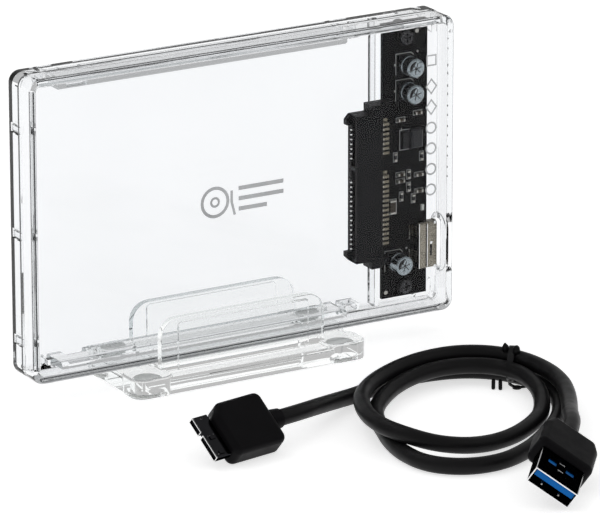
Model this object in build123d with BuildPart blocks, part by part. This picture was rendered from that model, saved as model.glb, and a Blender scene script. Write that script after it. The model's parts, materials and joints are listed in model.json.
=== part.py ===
from build123d import *
import math
import os

# Clear desktop enclosure for a 2.5-inch hard disk drive, with its cradle and its lead.
# Millimetres. The origin is on the table under the middle of the enclosure: +X points
# to the connector end, -Y to the front cover, +Z up.

# ---------------------------------------------------------------- enclosure
case_length = 122.0
case_height = 79.0
case_depth = 12.4
case_bottom = 6.0
end_wall = 1.9
face_plate = 1.25
outline_radius = 3.0
cavity_radius = 1.4
rim_radius = 1.1
split_y = 0.25
split_gap = 0.3

case_mid_z = case_bottom + case_height / 2
half_height = case_height / 2
half_cavity = half_height - end_wall
back_y = case_depth / 2
front_y = -case_depth / 2
rear_inner_y = back_y - face_plate
front_inner_y = front_y + face_plate
rear_rim_y = split_y + split_gap / 2
front_rim_y = split_y - split_gap / 2
half_length = case_length / 2
inner_end_x = half_length - end_wall

tongue_rise = [-29.7, -2.0, 25.4]
tongue_width = 1.7
tongue_reach = 3.8
tongue_thickness = 0.9
tongue_gap = 0.3
grip_groove_start_x = -53.0
grip_groove_end_x = 49.0
grip_groove_y = 2.6
grip_groove_width = 1.1
grip_groove_depth = 0.4

# ---------------------------------------------------------------- drive bay
drive_width = 69.85
drive_slack = 0.95
half_bay = (drive_width + drive_slack) / 2
rail_start_x = -52.0
rail_end_x = 30.5
rail_front_y = -3.4
rail_chamfer = 0.6
slide_clearance = 0.35
rail_notch_start_x = -48.0
rail_notch_length = 6.0
rail_notch_front_y = 2.4
rail_notch_depth = 1.2
catch_x = -53.6
catch_size = (0.9, 1.3)
catch_y = 1.2
loop_start_x = 31.8
loop_length = 4.8
loop_wall = 1.0
loop_front_y = 0.7
partition_x = 41.5
partition_width = 1.3
partition_front_y = 1.5
gusset_size = 4.6
gusset_height = 2.0

# ---------------------------------------------------------------- circuit board
board_left_x = 43.7
board_width = 13.3
board_length = 72.0
board_front_y = 1.5
board_thickness = 1.0
board_back_y = board_front_y + board_thickness
board_mid_x = board_left_x + board_width / 2
screw_rise = [33.3, -33.3]
screw_hole_radius = 1.1
screw_shank_radius = 0.8
screw_head_radius = 1.9
screw_head_height = 1.2
screw_length = 3.1
screw_socket_width = 0.5
screw_socket_length = 2.4
screw_socket_depth = 0.6
boss_radius = 2.4
boss_bore_radius = 0.85
boss_bore_depth = 2.25

# ---------------------------------------------------------------- drive connector
sata_mid_z = 41.5
sata_length = 39.3
sata_mouth_x = 33.5
sata_rear_x = 41.3
sata_depth = 4.4
sata_front_y = board_front_y - sata_depth
sata_ear_x = 38.1
sata_ear_reach = 2.15
sata_arm_end_x = 44.6
sata_arm_width = 1.9
sata_arm_front_y = -1.4
sata_slot_depth = 5.8
sata_slot_width = 2.1
sata_front_wall = 0.6
sata_slot_margin = 1.05
sata_guide_reach = 1.3
sata_guide_width = 1.36
sata_key_z = 46.9
sata_key_width = 1.0
contact_pitch = 1.27
contact_thickness = 0.2
contact_width = 0.72
signal_count = 7
power_count = 15
signal_to_power_pitches = 5
contact_leg_x = 43.3
contact_foot_end_x = 45.1
contact_tip_inset = 0.5
contact_span = (signal_count + power_count - 2 + signal_to_power_pitches) * contact_pitch
signal_first_z = sata_mid_z + contact_span / 2 + 0.3
power_first_z = signal_first_z - (signal_count - 1 + signal_to_power_pitches) * contact_pitch
contact_front_y = sata_front_y + sata_front_wall

# ---------------------------------------------------------------- USB port
port_mid_z = 23.0
port_width = 12.35
port_height = 2.75
port_wall = 0.25
port_back_x = 53.15
port_mouth_x = 58.5
port_mid_y = board_front_y - port_height / 2
port_flare = 0.17
port_flare_length = 0.4
port_corner = 0.5
port_base_length = 1.2
port_lobe_rise = [-2.95, 3.75]
port_lobe_width = [3.9, 3.3]
port_tongue_thickness = 0.6
port_tongue_inset = 0.7
port_pin_pitch = 0.65
port_pin_count = 5
port_pin_width = 0.3
port_pin_thickness = 0.15
port_pin_leg_x = 52.8
port_pin_end_x = 51.7
port_slot_clearance = 0.35
recess_width = 15.6
recess_height = 7.6
recess_depth = 0.8

# ---------------------------------------------------------------- parts on the board
capacitor_places = [(50.55, 71.66), (50.55, 64.7), (47.5, 19.34)]
capacitor_radius = 2.5
capacitor_height = 5.4
capacitor_base_size = 5.3
capacitor_base_height = 0.9
capacitor_base_chamfer = 1.2
capacitor_groove_height = 1.3
capacitor_groove_radius = 0.25
capacitor_rim = 0.35
chip_size = 7.0
chip_height = 0.9
chip_rise = 2.5
crystal_size = (3.2, 2.5)
crystal_height = 0.8
crystal_rise = -8.5
regulator_size = (1.9, 4.5)
regulator_height = 1.1
regulator_place = (50.25, 51.5)
inductor_size = (3.4, 5.0)
inductor_height = 1.7
inductor_bevel = 0.4
inductor_place = (53.3, 51.7)
fuse_size = (1.7, 3.2)
fuse_height = 0.6
fuse_place = (46.7, 34.0)
ceramic_size = (1.6, 0.8)
ceramic_height = 0.8
ceramic_places = [(49.1, 42.4), (49.1, 40.6), (54.6, 41.6), (54.6, 37.2), (49.1, 57.0), (54.2, 58.2)]
resistor_size = (0.8, 1.6)
resistor_height = 0.45
resistor_places = [(51.6, 42.0), (51.6, 38.6), (53.0, 35.4), (49.4, 36.4), (55.4, 46.4), (47.6, 47.2)]
led_size = (0.8, 1.6)
led_height = 0.6
led_place = (55.6, 32.6)
part_edge = 0.12

# ---------------------------------------------------------------- cradle
cradle_mid_x = -3.0
cradle_length = 67.4
cradle_depth = 29.0
cradle_bottom = 0.4
cradle_top = 4.8
cradle_step_height = 0.8
cradle_step_inset = 0.3
cradle_corner = 2.4
saddle_top = case_bottom - 0.1
upright_width = 47.3
upright_thickness = 2.1
upright_inner_y = 6.95
upright_top = 18.4
upright_corner = 5.0
panel_inset = 4.8
panel_rise = 0.25
panel_corner = 1.0
panel_drop = 1.2
foot_length = 11.5
foot_depth = 10.0
foot_proud = 0.5
foot_top = 5.4
foot_corner = 3.4
foot_rim = 0.5
pad_radius = 3.6
pad_thickness = 1.2
pad_rim = 0.2
pad_clearance = 0.05

# ---------------------------------------------------------------- lead
lead_radius = 2.1
coil_height = 8.6
coil_outer_mid = (25.35, -69.5)
coil_outer_radii = (35.0, 24.1)
coil_outer_turn = 54.0
coil_inner_mid = (25.7, -65.9)
coil_inner_radii = (30.0, 20.2)
coil_inner_turn = 40.0
tie_mid = (50.6, -46.6)
tie_heading = -52.0
tie_band = 2.4
tie_thickness = 1.1
tie_inner_span = 10.6
tie_knob_radius = 1.9
tie_knob_height = 3.2
tie_knob_spread = 2.6

micro_nose = Vector(-44.8, -63.0, 6.7)
micro_axis = Vector(0.982, 0.190, 0.0).normalized()
micro_up = micro_axis.cross(Vector(-0.147, 0.761, 0.632)).normalized()
micro_across = micro_up.cross(micro_axis)
micro_shell_length = 4.5
micro_shell_height = 1.85
micro_shell_wall = 0.25
micro_shell_corner = 0.4
micro_bore_corner = 0.15
micro_lobe_width = 6.9
micro_small_lobe_width = 4.5
micro_bridge_width = 0.85
micro_bridge_height = 0.75
micro_bridge_overlap = 0.5
micro_spring_size = (0.9, 1.5)
micro_spring_rise = 0.25
micro_spring_back = 1.4
micro_spring_spread = 4.4
micro_insert_inset = 0.4
micro_insert_gap = 0.2
micro_insert_base = 1.0
micro_grip_length = 16.4
micro_grip_width = 15.0
micro_grip_thickness = 6.8
micro_grip_chamfer = 3.2
micro_grip_corner = 2.0
micro_relief_length = 3.2
grip_round = 1.7
relief_root_radius = 2.9
relief_tip_radius = 2.5

plug_nose = Vector(11.6, -131.7, 5.8)
plug_axis = Vector(0.6412, 0.7598, 0.0989).normalized()
plug_up = plug_axis.cross(Vector(-0.6668, 0.4889, 0.5608)).normalized()
plug_across = plug_up.cross(plug_axis)
plug_shell_length = 12.0
plug_shell_width = 12.0
plug_shell_height = 4.5
plug_shell_wall = 0.3
plug_shell_corner = 0.6
plug_window_size = (2.3, 1.9)
plug_window_spread = 5.0
plug_window_back = 6.2
plug_insulator_height = 1.85
plug_insulator_inset = 0.5
plug_insulator_gap = 0.3
plug_base_length = 2.5
plug_contact_size = (1.0, 7.2)
plug_contact_thickness = 0.2
plug_contact_pitch = 2.3
plug_contact_count = 4
plug_grip_length = 15.0
plug_grip_width = 15.2
plug_grip_thickness = 7.8
plug_grip_rear_width = 12.4
plug_grip_shoulder = 4.0
plug_grip_corner = 1.8
plug_relief_length = 2.5

run_share = 0.45

# The lead's route where it isn't coiled: first from the small plug to the coil, then
# from the coil to the large plug. The runs at the plugs are in line with them.
micro_length = micro_shell_length + micro_grip_length + micro_relief_length
plug_length = plug_shell_length + plug_grip_length + plug_relief_length
micro_exit = micro_nose + micro_axis * micro_length
plug_exit = plug_nose + plug_axis * plug_length
lead_in_route = [
    micro_exit,
    micro_exit + micro_axis * 6.0,
    Vector(-5.5, -51.3, 5.0),
    Vector(3.0, -45.9, 3.3),
    Vector(9.5, -42.7, 2.4),
    Vector(17.2, -39.6, 2.1),
    Vector(24.5, -37.4, 2.1),
    Vector(32.2, -36.4, 2.1),
]
lead_out_route = [
    Vector(46.5, -84.6, 6.8),
    Vector(41.8, -92.0, 7.6),
    Vector(38.6, -97.6, 8.6),
    plug_exit + plug_axis * 7.5,
    plug_exit,
]


def facing_front(y):
    """A plane across Y whose sketch x and y are the object's X and Z; it extrudes to -Y."""
    return Plane(origin=(0, y, 0), x_dir=(1, 0, 0), z_dir=(0, -1, 0))


def facing_end(x):
    """A plane across X whose sketch x and y are the object's Y and Z; it extrudes to +X."""
    return Plane(origin=(x, 0, 0), x_dir=(0, 1, 0), z_dir=(1, 0, 0))


def save(builder, name):
    builder.part.label = name
    export_step(builder.part, f"parts/{name}.step")


os.makedirs("parts", exist_ok=True)

# ================================================================ rear shell
screw_z = [case_mid_z + rise for rise in screw_rise]
port_slot_width = port_width + 2 * port_slot_clearance
port_slot_height = port_height + 2 * port_slot_clearance

with BuildPart() as rear_shell:
    with BuildSketch(facing_front(back_y)):
        with Locations((0, case_mid_z)):
            RectangleRounded(case_length, case_height, outline_radius)
    extrude(amount=back_y - rear_rim_y)
    fillet(rear_shell.faces().sort_by(Axis.Y)[-1].edges(), rim_radius)
    with BuildSketch(facing_front(rear_inner_y)):
        with Locations((0, case_mid_z)):
            RectangleRounded(2 * inner_end_x, 2 * half_cavity, cavity_radius)
    extrude(amount=rear_inner_y - rear_rim_y, mode=Mode.SUBTRACT)
    # The two rails that the drive's long edges lie between. Their free front parts
    # reach under the cover's walls with a sliding clearance.
    for side in (-1, 1):
        wall_z = case_mid_z + side * half_cavity
        clear_z = case_mid_z + side * (half_cavity - slide_clearance)
        bay_z = case_mid_z + side * half_bay
        bevel_z = case_mid_z + side * (half_bay + rail_chamfer)
        with BuildSketch(facing_end(rail_start_x)):
            with BuildLine():
                Polyline(
                    (rear_inner_y, wall_z),
                    (rear_rim_y, wall_z),
                    (rear_rim_y, clear_z),
                    (rail_front_y, clear_z),
                    (rail_front_y, bevel_z),
                    (rail_front_y + rail_chamfer, bay_z),
                    (rear_inner_y, bay_z),
                    close=True,
                )
            make_face()
        extrude(amount=rail_end_x - rail_start_x)
        # A notch behind the rail's start, and a post that stops the catch.
        notch_y = (rear_inner_y + rail_notch_front_y) / 2
        with BuildSketch(facing_end(rail_notch_start_x)):
            with Locations((notch_y, bay_z)):
                Rectangle(rear_inner_y - rail_notch_front_y, 2 * rail_notch_depth)
        extrude(amount=rail_notch_length, mode=Mode.SUBTRACT)
        post_height = half_cavity - half_bay
        post_z = case_mid_z + side * (half_bay + post_height / 2)
        with BuildSketch(facing_front(rear_inner_y)):
            with Locations((catch_x, post_z)):
                Rectangle(catch_size[0], post_height)
        extrude(amount=rear_inner_y - catch_y + catch_size[1] / 2)
        # A loop past the rail's end, for the drive's damper strip.
        loop_mid_x = loop_start_x + loop_length / 2
        with BuildSketch(facing_front(rear_inner_y)):
            with Locations((loop_mid_x, post_z)):
                Rectangle(loop_length, post_height)
                Rectangle(loop_length - 2 * loop_wall, post_height - loop_wall, mode=Mode.SUBTRACT)
        extrude(amount=rear_inner_y - loop_front_y)
        # A gusset in each corner behind the circuit board.
        with BuildSketch(facing_front(rear_inner_y)):
            with BuildLine():
                Polyline(
                    (inner_end_x, case_mid_z + side * half_cavity),
                    (inner_end_x - gusset_size, case_mid_z + side * half_cavity),
                    (inner_end_x, case_mid_z + side * (half_cavity - gusset_size)),
                    close=True,
                )
            make_face()
        extrude(amount=gusset_height)
    # The rib between the drive bay and the circuit board.
    with BuildSketch(facing_front(rear_inner_y)):
        with Locations((partition_x + partition_width / 2, case_mid_z)):
            Rectangle(partition_width, 2 * half_cavity)
    extrude(amount=rear_inner_y - partition_front_y)
    # Two bosses for the board's screws.
    with BuildSketch(facing_front(rear_inner_y)):
        with Locations([(board_mid_x, z) for z in screw_z]):
            Circle(boss_radius)
    extrude(amount=rear_inner_y - board_back_y)
    with BuildSketch(facing_front(board_back_y + boss_bore_depth)):
        with Locations([(board_mid_x, z) for z in screw_z]):
            Circle(boss_bore_radius)
    extrude(amount=boss_bore_depth, mode=Mode.SUBTRACT)
    # This shell's half of the port's opening, and of the shallow recess around it.
    with BuildSketch(facing_end(inner_end_x)):
        with Locations((port_mid_y, port_mid_z)):
            RectangleRounded(port_slot_height, port_slot_width, port_corner)
    extrude(amount=end_wall, mode=Mode.SUBTRACT)
    with BuildSketch(facing_end(half_length - recess_depth)):
        with Locations((port_mid_y, port_mid_z)):
            SlotOverall(recess_width, recess_height, rotation=90)
    extrude(amount=recess_depth, mode=Mode.SUBTRACT)
    # Seats in the left wall for the cover's tongues.
    for rise in tongue_rise:
        with BuildSketch(facing_end(-half_length)):
            with Locations((rear_rim_y, case_mid_z + rise)):
                Rectangle(2 * (tongue_reach + tongue_gap), tongue_width + 2 * tongue_gap)
        extrude(amount=tongue_thickness + tongue_gap, mode=Mode.SUBTRACT)
    # A long shallow finger groove along the top.
    with BuildSketch(Plane.XY.offset(case_mid_z + half_height - grip_groove_depth)):
        with Locations(((grip_groove_start_x + grip_groove_end_x) / 2, grip_groove_y)):
            SlotOverall(grip_groove_end_x - grip_groove_start_x, grip_groove_width)
    extrude(amount=grip_groove_depth, mode=Mode.SUBTRACT)
save(rear_shell, "rear_shell")

# ================================================================ front cover
with BuildPart() as front_cover:
    with BuildSketch(facing_front(front_rim_y)):
        with Locations((0, case_mid_z)):
            RectangleRounded(case_length, case_height, outline_radius)
    extrude(amount=front_rim_y - front_y)
    fillet(front_cover.faces().sort_by(Axis.Y)[0].edges(), rim_radius)
    with BuildSketch(facing_front(front_rim_y)):
        with Locations((0, case_mid_z)):
            RectangleRounded(2 * inner_end_x, 2 * half_cavity, cavity_radius)
    extrude(amount=front_rim_y - front_inner_y, mode=Mode.SUBTRACT)
    with BuildSketch(facing_end(inner_end_x)):
        with Locations((port_mid_y, port_mid_z)):
            RectangleRounded(port_slot_height, port_slot_width, port_corner)
    extrude(amount=end_wall, mode=Mode.SUBTRACT)
    with BuildSketch(facing_end(half_length - recess_depth)):
        with Locations((port_mid_y, port_mid_z)):
            SlotOverall(recess_width, recess_height, rotation=90)
    extrude(amount=recess_depth, mode=Mode.SUBTRACT)
    # Tongues that hook into the rear shell's left wall; they leave it as the cover slides.
    for rise in tongue_rise:
        with BuildSketch(facing_end(-half_length)):
            with Locations(((front_rim_y - 1 + rear_rim_y + tongue_reach) / 2, case_mid_z + rise)):
                Rectangle(rear_rim_y + tongue_reach - front_rim_y + 1, tongue_width)
        extrude(amount=tongue_thickness)
save(front_cover, "front_cover")

# ================================================================ circuit board and its screws
with BuildPart() as circuit_board:
    with BuildSketch(facing_front(board_back_y)):
        with Locations((board_mid_x, case_mid_z)):
            Rectangle(board_width, board_length)
        with Locations([(board_mid_x, z) for z in screw_z]):
            Circle(screw_hole_radius, mode=Mode.SUBTRACT)
    extrude(amount=board_thickness)
save(circuit_board, "circuit_board")

for name, z in zip(("board_screw_upper", "board_screw_lower"), screw_z):
    with BuildPart() as board_screw:
        with BuildSketch(facing_front(board_front_y)):
            with Locations((board_mid_x, z)):
                Circle(screw_head_radius)
        extrude(amount=screw_head_height)
        fillet(board_screw.faces().sort_by(Axis.Y)[0].edges(), screw_head_height / 3)
        with BuildSketch(facing_front(board_front_y + screw_length)):
            with Locations((board_mid_x, z)):
                Circle(screw_shank_radius)
        extrude(amount=screw_length)
        with BuildSketch(facing_front(board_front_y - screw_head_height + screw_socket_depth)):
            with Locations((board_mid_x, z)):
                Rectangle(screw_socket_length, screw_socket_width)
                Rectangle(screw_socket_width, screw_socket_length)
        extrude(amount=screw_socket_depth, mode=Mode.SUBTRACT)
    save(board_screw, name)

# ================================================================ drive connector
signal_z = [signal_first_z - i * contact_pitch for i in range(signal_count)]
power_z = [power_first_z - i * contact_pitch for i in range(power_count)]
sata_slot_mid_y = contact_front_y + sata_slot_width / 2
sata_mid_x = (sata_mouth_x + sata_rear_x) / 2
sata_half = sata_length / 2

with BuildPart() as sata_housing:
    with BuildSketch(facing_front(board_front_y)):
        with Locations((sata_mid_x, sata_mid_z)):
            Rectangle(sata_rear_x - sata_mouth_x, sata_length)
        with Locations(((sata_ear_x + sata_rear_x) / 2, sata_mid_z)):
            Rectangle(sata_rear_x - sata_ear_x, sata_length + 2 * sata_ear_reach)
    extrude(amount=sata_depth)
    # The slot for the drive's tongue, in two parts with the key wall between them.
    with BuildSketch(facing_end(sata_mouth_x)):
        with Locations((sata_slot_mid_y, sata_mid_z)):
            Rectangle(sata_slot_width, sata_length - 2 * sata_slot_margin)
        with Locations((sata_slot_mid_y, sata_key_z)):
            Rectangle(sata_slot_width, sata_key_width, mode=Mode.SUBTRACT)
    extrude(amount=sata_slot_depth, mode=Mode.SUBTRACT)
    # A passage for each contact through the rear wall.
    with BuildSketch(facing_end(sata_mouth_x + sata_slot_depth)):
        with Locations([(contact_front_y + contact_thickness / 2, z) for z in signal_z + power_z]):
            Rectangle(contact_thickness, contact_width)
    extrude(amount=sata_rear_x - sata_mouth_x - sata_slot_depth, mode=Mode.SUBTRACT)
    for side in (-1, 1):
        end_z = sata_mid_z + side * sata_half
        # The guide wedges beside the mouth.
        with BuildSketch(facing_front(board_front_y)):
            with BuildLine():
                Polyline(
                    (sata_mouth_x, end_z),
                    (sata_mouth_x - sata_guide_reach, end_z - side * sata_guide_width),
                    (sata_mouth_x - sata_guide_reach, end_z - side * 2 * sata_guide_width),
                    (sata_mouth_x, end_z - side * 2 * sata_guide_width),
                    close=True,
                )
            make_face()
        extrude(amount=board_front_y - contact_front_y - sata_slot_width)
        # The arms that lie on the board.
        arm_z = end_z + side * (sata_ear_reach - sata_arm_width / 2)
        with BuildSketch(facing_front(board_front_y)):
            with Locations(((sata_rear_x + sata_arm_end_x) / 2, arm_z)):
                Rectangle(sata_arm_end_x - sata_rear_x, sata_arm_width)
        extrude(amount=board_front_y - sata_arm_front_y)
save(sata_housing, "sata_housing")

for name, places in (("sata_signal_contacts", signal_z), ("sata_power_contacts", power_z)):
    with BuildPart() as sata_contacts:
        for z in places:
            with BuildSketch(Plane.XY.offset(z - contact_width / 2)):
                with BuildLine():
                    Polyline(
                        (sata_mouth_x + contact_tip_inset, contact_front_y),
                        (contact_leg_x + contact_thickness, contact_front_y),
                        (contact_leg_x + contact_thickness, board_front_y - contact_thickness),
                        (contact_foot_end_x, board_front_y - contact_thickness),
                        (contact_foot_end_x, board_front_y),
                        (contact_leg_x, board_front_y),
                        (contact_leg_x, contact_front_y + contact_thickness),
                        (sata_mouth_x + contact_tip_inset, contact_front_y + contact_thickness),
                        close=True,
                    )
                make_face()
            extrude(amount=contact_width)
    save(sata_contacts, name)

# ================================================================ USB port
port_inner = (port_height - 2 * port_wall, port_width - 2 * port_wall)
pin_rows = [
    port_mid_z + rise + (i - (port_pin_count - 1) / 2) * port_pin_pitch
    for rise in port_lobe_rise
    for i in range(port_pin_count)
]
pin_back_y = port_mid_y - port_tongue_thickness / 2
pin_front_y = pin_back_y - port_pin_thickness

with BuildPart() as usb_port_shell:
    with BuildSketch(facing_end(port_back_x)):
        with Locations((port_mid_y, port_mid_z)):
            RectangleRounded(port_height, port_width, port_corner)
            RectangleRounded(*port_inner, port_corner - port_wall, mode=Mode.SUBTRACT)
    extrude(amount=port_mouth_x - port_back_x)
    for side in (-1, 1):
        with BuildSketch(facing_end(port_mouth_x - port_flare_length)):
            with Locations((port_mid_y, port_mid_z + side * (port_width + port_flare) / 2)):
                Rectangle(port_height - 2 * port_corner, port_flare)
        extrude(amount=port_flare_length)
save(usb_port_shell, "usb_port_shell")

with BuildPart() as usb_port_tongue:
    with BuildSketch(facing_end(port_back_x)):
        with Locations((port_mid_y, port_mid_z)):
            RectangleRounded(*port_inner, port_corner - port_wall)
    extrude(amount=port_base_length)
    with BuildSketch(facing_end(port_back_x + port_base_length)):
        for rise, width in zip(port_lobe_rise, port_lobe_width):
            with Locations((port_mid_y, port_mid_z + rise)):
                Rectangle(port_tongue_thickness, width)
    extrude(amount=port_mouth_x - port_back_x - port_base_length - port_tongue_inset)
    with BuildSketch(facing_end(port_back_x)):
        with Locations([((pin_front_y + pin_back_y) / 2, z) for z in pin_rows]):
            Rectangle(port_pin_thickness, port_pin_width)
    extrude(amount=port_base_length, mode=Mode.SUBTRACT)
save(usb_port_tongue, "usb_port_tongue")

with BuildPart() as usb_port_contacts:
    pin_tip_x = port_mouth_x - 2 * port_tongue_inset
    for z in pin_rows:
        with BuildSketch(Plane.XY.offset(z - port_pin_width / 2)):
            with BuildLine():
                Polyline(
                    (pin_tip_x, pin_front_y),
                    (port_pin_leg_x, pin_front_y),
                    (port_pin_leg_x, board_front_y - port_pin_thickness),
                    (port_pin_end_x, board_front_y - port_pin_thickness),
                    (port_pin_end_x, board_front_y),
                    (port_pin_leg_x + port_pin_thickness, board_front_y),
                    (port_pin_leg_x + port_pin_thickness, pin_back_y),
                    (pin_tip_x, pin_back_y),
                    close=True,
                )
            make_face()
        extrude(amount=port_pin_width)
save(usb_port_contacts, "usb_port_contacts")

# ================================================================ electrolytic capacitors
for number, place in enumerate(capacitor_places, start=1):
    with BuildPart() as capacitor_base:
        with BuildSketch(facing_front(board_front_y)):
            with Locations(place):
                base = Rectangle(capacitor_base_size, capacitor_base_size)
            chamfer(base.vertices().group_by(Axis.X)[-1], capacitor_base_chamfer)
        extrude(amount=capacitor_base_height)
    save(capacitor_base, f"capacitor_base_{number}")

    can_y = board_front_y - capacitor_base_height
    top_y = board_front_y - capacitor_height
    with BuildPart() as capacitor_can:
        with BuildSketch(Plane(origin=(place[0], 0, place[1]), x_dir=(1, 0, 0), z_dir=(0, 0, 1))):
            with BuildLine():
                Polyline(
                    (0, can_y),
                    (capacitor_radius, can_y),
                    (capacitor_radius, can_y - capacitor_groove_height + capacitor_groove_radius),
                    (capacitor_radius - capacitor_groove_radius, can_y - capacitor_groove_height),
                    (capacitor_radius, can_y - capacitor_groove_height - capacitor_groove_radius),
                    (capacitor_radius, top_y + capacitor_rim),
                    (capacitor_radius - capacitor_rim, top_y),
                    (0, top_y),
                    close=True,
                )
            make_face()
        revolve(axis=Axis((place[0], 0, place[1]), (0, 1, 0)))
    save(capacitor_can, f"capacitor_can_{number}")


# ================================================================ small parts on the board
def board_parts(name, places, size, height, bevel=part_edge, from_y=board_front_y):
    """A group of like parts that stand on the board's front, or on its back if height < 0."""
    with BuildPart() as parts:
        with BuildSketch(facing_front(from_y)):
            with Locations(places):
                Rectangle(*size)
        extrude(amount=height)
        outer = parts.faces().group_by(Axis.Y)[0 if height > 0 else -1]
        chamfer(outer.edges(), bevel)
    save(parts, name)


board_parts("regulator", [regulator_place], regulator_size, regulator_height)
board_parts("inductor", [inductor_place], inductor_size, inductor_height, inductor_bevel)
board_parts("fuse", [fuse_place], fuse_size, fuse_height)
board_parts("ceramic_capacitors", ceramic_places, ceramic_size, ceramic_height)
board_parts("resistors", resistor_places, resistor_size, resistor_height)
board_parts("status_led", [led_place], led_size, led_height)
chip_place = (board_mid_x, case_mid_z + chip_rise)
crystal_place = (board_mid_x, case_mid_z + crystal_rise)
board_parts("bridge_chip", [chip_place], (chip_size, chip_size), -chip_height, from_y=board_back_y)
board_parts("crystal", [crystal_place], crystal_size, -crystal_height, from_y=board_back_y)

# ================================================================ cradle and its pads
foot_x = [cradle_mid_x + side * (cradle_length - foot_length) / 2 for side in (-1, 1)]
foot_y = [side * (cradle_depth - foot_depth) / 2 for side in (-1, 1)]
feet = [(x, y) for y in foot_y for x in foot_x]
slab_size = (cradle_length - 2 * foot_proud, cradle_depth - 2 * foot_proud)

with BuildPart() as stand_cradle:
    with BuildSketch(Plane.XY.offset(cradle_bottom)):
        with Locations((cradle_mid_x, 0)):
            RectangleRounded(*slab_size, cradle_corner)
    extrude(amount=cradle_top - cradle_step_height - cradle_bottom)
    with BuildSketch(Plane.XY.offset(cradle_top - cradle_step_height)):
        with Locations((cradle_mid_x, 0)):
            RectangleRounded(
                slab_size[0] - 2 * cradle_step_inset,
                slab_size[1] - 2 * cradle_step_inset,
                cradle_corner - cradle_step_inset,
            )
    extrude(amount=cradle_step_height)
    with BuildSketch(Plane.XY.offset(cradle_bottom)):
        with Locations(feet):
            RectangleRounded(foot_length, foot_depth, foot_corner)
    extrude(amount=foot_top - cradle_bottom)
    fillet(stand_cradle.faces().group_by(Axis.Z)[-1].edges(), foot_rim)
    with BuildSketch(Plane.XY.offset(cradle_top - foot_rim)):
        with Locations((cradle_mid_x, 0)):
            Rectangle(upright_width, 2 * upright_inner_y)
    extrude(amount=saddle_top - cradle_top + foot_rim)
    # The two uprights that the enclosure stands between, each with a slightly raised panel.
    for side in (-1, 1):
        outer_y = side * (upright_inner_y + upright_thickness)
        for width, corner, inner_y, end_y in (
            (upright_width, upright_corner, side * upright_inner_y, outer_y),
            (upright_width - 2 * panel_inset, panel_corner, outer_y, outer_y + side * panel_rise),
        ):
            top = upright_top if end_y == outer_y else upright_top - panel_drop
            with BuildSketch(facing_front(max(inner_y, end_y))):
                with Locations((cradle_mid_x, (top + cradle_top - 1) / 2)):
                    panel = Rectangle(width, top - cradle_top + 1)
                fillet(panel.vertices().group_by(Axis.Y)[-1], corner)
            extrude(amount=abs(end_y - inner_y))
    with BuildSketch(Plane.XY.offset(cradle_bottom)):
        with Locations(feet):
            Circle(pad_radius + pad_clearance)
    extrude(amount=pad_thickness - cradle_bottom, mode=Mode.SUBTRACT)
save(stand_cradle, "stand_cradle")

pad_names = ("foot_pad_front_left", "foot_pad_front_right", "foot_pad_rear_left", "foot_pad_rear_right")
for name, place in zip(pad_names, feet):
    with BuildPart() as foot_pad:
        with BuildSketch():
            with Locations(place):
                Circle(pad_radius)
        extrude(amount=pad_thickness)
        chamfer(foot_pad.faces().sort_by(Axis.Z)[0].edges(), pad_rim)
    save(foot_pad, name)


# ================================================================ the lead's small plug
def micro_plane(back):
    """Across the small plug, this far behind its nose: x across it, y up from its face."""
    return Plane(origin=micro_nose + micro_axis * back, x_dir=micro_across, z_dir=micro_axis)


micro_width = micro_lobe_width + micro_bridge_width + micro_small_lobe_width
lobe_widths = (micro_lobe_width, micro_small_lobe_width)
lobe_mids = (
    (micro_lobe_width - micro_width) / 2,
    (micro_width - micro_small_lobe_width) / 2,
)
bridge_mid = micro_lobe_width + micro_bridge_width / 2 - micro_width / 2

with BuildPart() as micro_plug_shell:
    with BuildSketch(micro_plane(0)):
        for mid, width in zip(lobe_mids, lobe_widths):
            with Locations((mid, 0)):
                RectangleRounded(width, micro_shell_height, micro_shell_corner)
        with Locations((bridge_mid, (micro_shell_height - micro_bridge_height) / 2)):
            Rectangle(micro_bridge_width + 2 * micro_bridge_overlap, micro_bridge_height)
        for mid, width in zip(lobe_mids, lobe_widths):
            with Locations((mid, 0)):
                RectangleRounded(
                    width - 2 * micro_shell_wall,
                    micro_shell_height - 2 * micro_shell_wall,
                    micro_bore_corner,
                    mode=Mode.SUBTRACT,
                )
    extrude(amount=micro_shell_length)
    # The two latch springs on top.
    with BuildSketch(micro_plane(micro_spring_back)):
        for side in (-1, 1):
            mid = lobe_mids[0] + side * micro_spring_spread / 2
            with Locations((mid, (micro_shell_height + micro_spring_rise) / 2)):
                Rectangle(micro_spring_size[0], micro_spring_rise)
    extrude(amount=micro_spring_size[1])
save(micro_plug_shell, "micro_plug_shell")

with BuildPart() as micro_plug_insert:
    cavity_height = micro_shell_height - 2 * micro_shell_wall
    with BuildSketch(micro_plane(micro_insert_inset)):
        for mid, width in zip(lobe_mids, lobe_widths):
            with Locations((mid, -cavity_height / 4)):
                Rectangle(width - 2 * (micro_shell_wall + micro_insert_gap), cavity_height / 2)
    extrude(amount=micro_shell_length - micro_insert_inset)
    with BuildSketch(micro_plane(micro_shell_length - micro_insert_base)):
        for mid, width in zip(lobe_mids, lobe_widths):
            with Locations((mid, 0)):
                Rectangle(width - 2 * (micro_shell_wall + micro_insert_gap), cavity_height)
    extrude(amount=micro_insert_base)
save(micro_plug_insert, "micro_plug_insert")


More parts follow.
